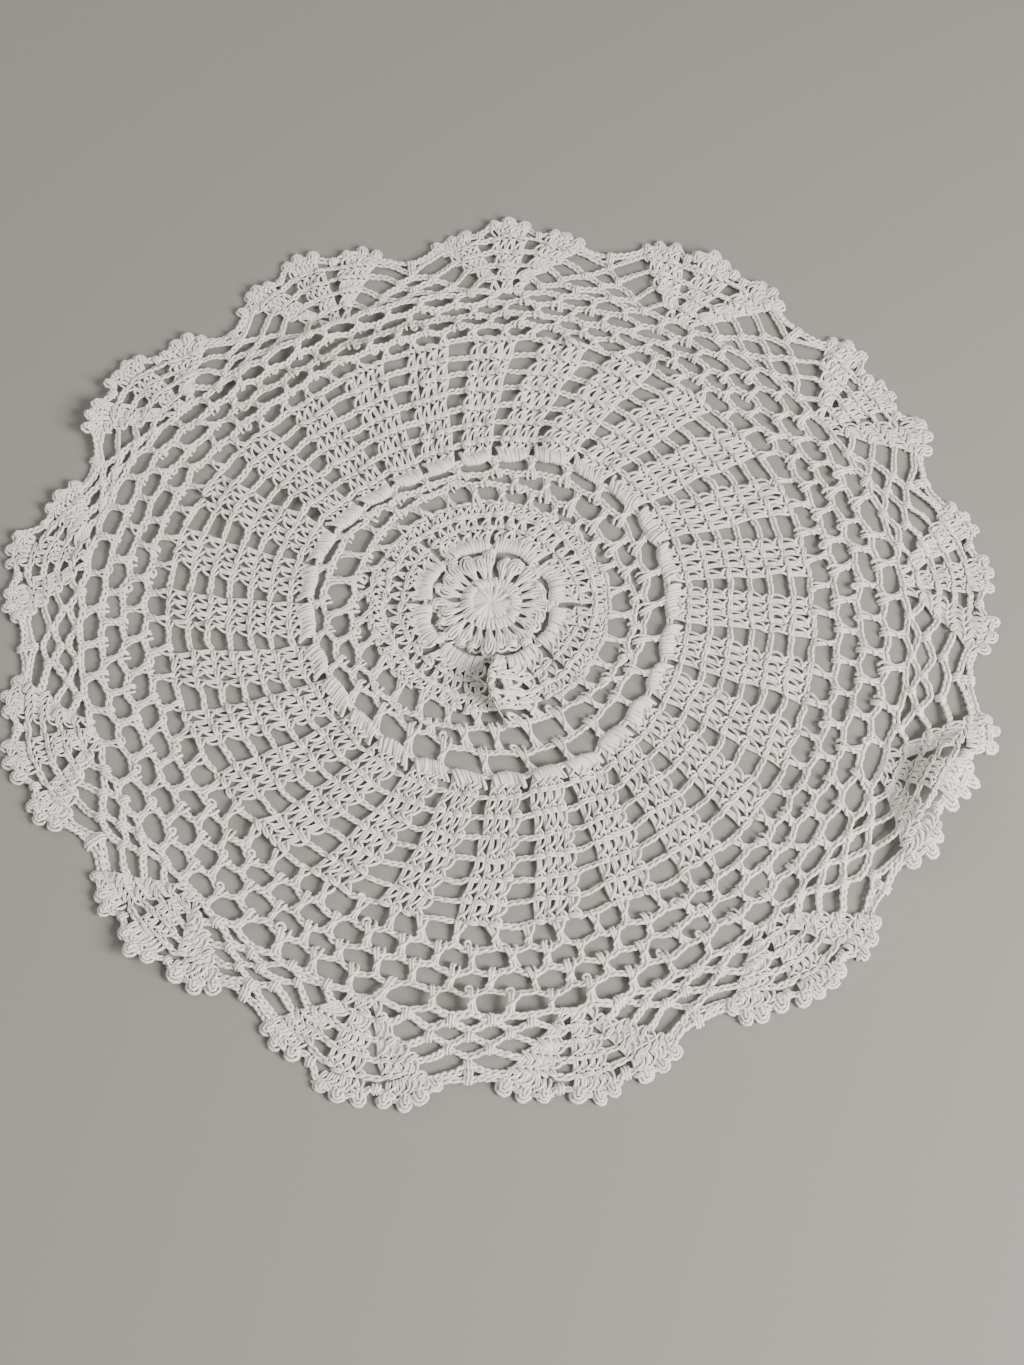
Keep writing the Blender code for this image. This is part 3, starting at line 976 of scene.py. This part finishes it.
class DoilyColours(bpy.types.PropertyGroup):
    cotton: bpy.props.FloatVectorProperty(
        name="Cotton", description="Colour of the thread", default=(0.79, 0.735, 0.64),
        subtype="COLOR", min=0.0, max=1.0)
    shaded_cotton: bpy.props.FloatVectorProperty(
        name="Shaded cotton", description="Colour of the duller patches",
        default=(0.67, 0.61, 0.51), subtype="COLOR", min=0.0, max=1.0)
    floor: bpy.props.FloatVectorProperty(
        name="Floor", description="Colour of the floor", default=(0.27, 0.265, 0.255),
        subtype="COLOR", min=0.0, max=1.0)


class CrochetRounds:
    """Crochets the rounds that an operator names, each as one piece."""

    def execute(self, context):
        for name, crochet, *details in self.rounds:
            make_piece(crochet(*details), name)
        return {"FINISHED"}


class DOILY_OT_rosette(CrochetRounds, bpy.types.Operator):
    """Crochet the rosette in the middle"""
    bl_idname = "doily.rosette"
    bl_label = "Rosette"
    rounds = (("rosette", crochet_rosette),)


class DOILY_OT_inner_net(CrochetRounds, bpy.types.Operator):
    """Crochet the inner net"""
    bl_idname = "doily.inner_net"
    bl_label = "Inner net"
    rounds = (("inner_net", crochet_inner_net),)


class DOILY_OT_panels(CrochetRounds, bpy.types.Operator):
    """Crochet the ladder panels, in two bands of rows"""
    bl_idname = "doily.panels"
    bl_label = "Ladder panels"
    rounds = (("panels_inner_rows", crochet_panel_rows, 0, 4, 13),
              ("panels_outer_rows", crochet_panel_rows, 4, PANEL_ROWS, 14))


class DOILY_OT_outer_net(CrochetRounds, bpy.types.Operator):
    """Crochet the outer net"""
    bl_idname = "doily.outer_net"
    bl_label = "Outer net"
    rounds = (("outer_net", crochet_outer_net),)


class DOILY_OT_scallops(CrochetRounds, bpy.types.Operator):
    """Crochet the scallops' blocks and the loops between them"""
    bl_idname = "doily.scallops"
    bl_label = "Scallops"
    rounds = (("scallop_blocks", crochet_blocks), ("scallop_loops", crochet_loops))


class DOILY_OT_edging(CrochetRounds, bpy.types.Operator):
    """Crochet the fans and picots of the edge"""
    bl_idname = "doily.edging"
    bl_label = "Picot edging"
    rounds = (("edging", crochet_edging),)


class DOILY_OT_sheet(bpy.types.Operator):
    bl_idname = "doily.sheet"
    bl_label = "Laid sheet"

    def execute(self, context):
        rounds = [bpy.data.objects[name] for name in ROUNDS]
        net = bpy.data.objects["outer_net"]
        rounds.remove(net)
        return {"FINISHED"}


# The studio: places and sizes in metres, power in watts.
FLOOR_REACH = 3.0
CAMERA_FROM_ROSETTE = (0.0065, -0.2365, 0.4207)
CAMERA_TILT_DEG = 26.6
SENSOR_WIDTH, FOCAL_LENGTH = 36.0, 42.4  # mm
Light = namedtuple("Light", "name place size power")
LIGHTS = (
    Light("key", (0.75, -0.50, 0.58), 0.45, 24.5),
    Light("fill", (-0.9, 0.7, 0.8), 1.2, 9.0),
)
LIGHT_COLOUR = (1.0, 0.95, 0.88)
SKY_COLOUR = (1.0, 0.97, 0.93, 1.0)
SKY_STRENGTH = 0.29


class DOILY_OT_stage(bpy.types.Operator):
    """Set the floor, the lights and the camera"""
    bl_idname = "doily.stage"
    bl_label = "Stage"

    def execute(self, context):
        scene = context.scene
        floor_mesh = bpy.data.meshes.new("floor")
        corners = [(x * FLOOR_REACH, y * FLOOR_REACH, 0.0)
                   for x, y in ((-1, -1), (1, -1), (1, 1), (-1, 1))]
        floor_mesh.from_pydata(corners, [], [(0, 1, 2, 3)])
        cover = bpy.data.materials.new("floor")
        cover.use_nodes = True
        surface = cover.node_tree.nodes["Principled BSDF"].inputs
        surface["Base Color"].default_value = (*scene.doily_colours.floor, 1.0)
        surface["Roughness"].default_value = 0.9
        floor_mesh.materials.append(cover)
        floor = bpy.data.objects.new("floor", floor_mesh)
        scene.collection.objects.link(floor)

        rosette = Vector((CENTRE_X * MM, CENTRE_Y * MM, 0.0))
        camera_data = bpy.data.cameras.new("camera")
        camera_data.sensor_width = SENSOR_WIDTH
        camera_data.lens = FOCAL_LENGTH
        camera = bpy.data.objects.new("camera", camera_data)
        camera.location = rosette + Vector(CAMERA_FROM_ROSETTE)
        camera.rotation_euler = (math.radians(CAMERA_TILT_DEG), 0.0, 0.0)
        scene.collection.objects.link(camera)
        scene.camera = camera

        for row in LIGHTS:
            light_data = bpy.data.lights.new(row.name, "AREA")
            light_data.size = row.size
            light_data.energy = row.power
            light_data.color = LIGHT_COLOUR
            light = bpy.data.objects.new(row.name, light_data)
            light.location = row.place
            light.rotation_euler = (-Vector(row.place)).to_track_quat("-Z", "Y").to_euler()
            scene.collection.objects.link(light)
        world = bpy.data.worlds.new("studio")
        world.use_nodes = True
        sky = world.node_tree.nodes["Background"]
        sky.inputs["Color"].default_value = SKY_COLOUR
        sky.inputs["Strength"].default_value = SKY_STRENGTH
        scene.world = world
        return {"FINISHED"}


OPERATORS = (DOILY_OT_rosette, DOILY_OT_inner_net, DOILY_OT_panels, DOILY_OT_outer_net,
             DOILY_OT_scallops, DOILY_OT_edging, DOILY_OT_sheet, DOILY_OT_stage)


class DOILY_PT_panel(bpy.types.Panel):
    bl_label = "Lace Doily"
    bl_idname = "DOILY_PT_panel"
    bl_space_type = "VIEW_3D"
    bl_region_type = "UI"
    bl_category = "Doily"

    def draw(self, context):
        for group in (context.scene.doily_sizes, context.scene.doily_colours):
            for name in group.__annotations__:
                self.layout.prop(group, name)
        for operator in OPERATORS:
            self.layout.operator(operator.bl_idname)


CLASSES = (DoilySizes, DoilyColours, *OPERATORS, DOILY_PT_panel)


def register():
    for cls in CLASSES:
        bpy.utils.register_class(cls)
    bpy.types.Scene.doily_sizes = bpy.props.PointerProperty(type=DoilySizes)
    bpy.types.Scene.doily_colours = bpy.props.PointerProperty(type=DoilyColours)


def unregister():
    del bpy.types.Scene.doily_sizes
    del bpy.types.Scene.doily_colours
    for cls in reversed(CLASSES):
        bpy.utils.unregister_class(cls)


def main():
    register()
    bpy.ops.doily.rosette()
    bpy.ops.doily.inner_net()
    bpy.ops.doily.panels()
    bpy.ops.doily.outer_net()
    bpy.ops.doily.scallops()
    bpy.ops.doily.edging()
    bpy.ops.doily.sheet()
    bpy.ops.doily.stage()


if __name__ == "__main__":
    main()
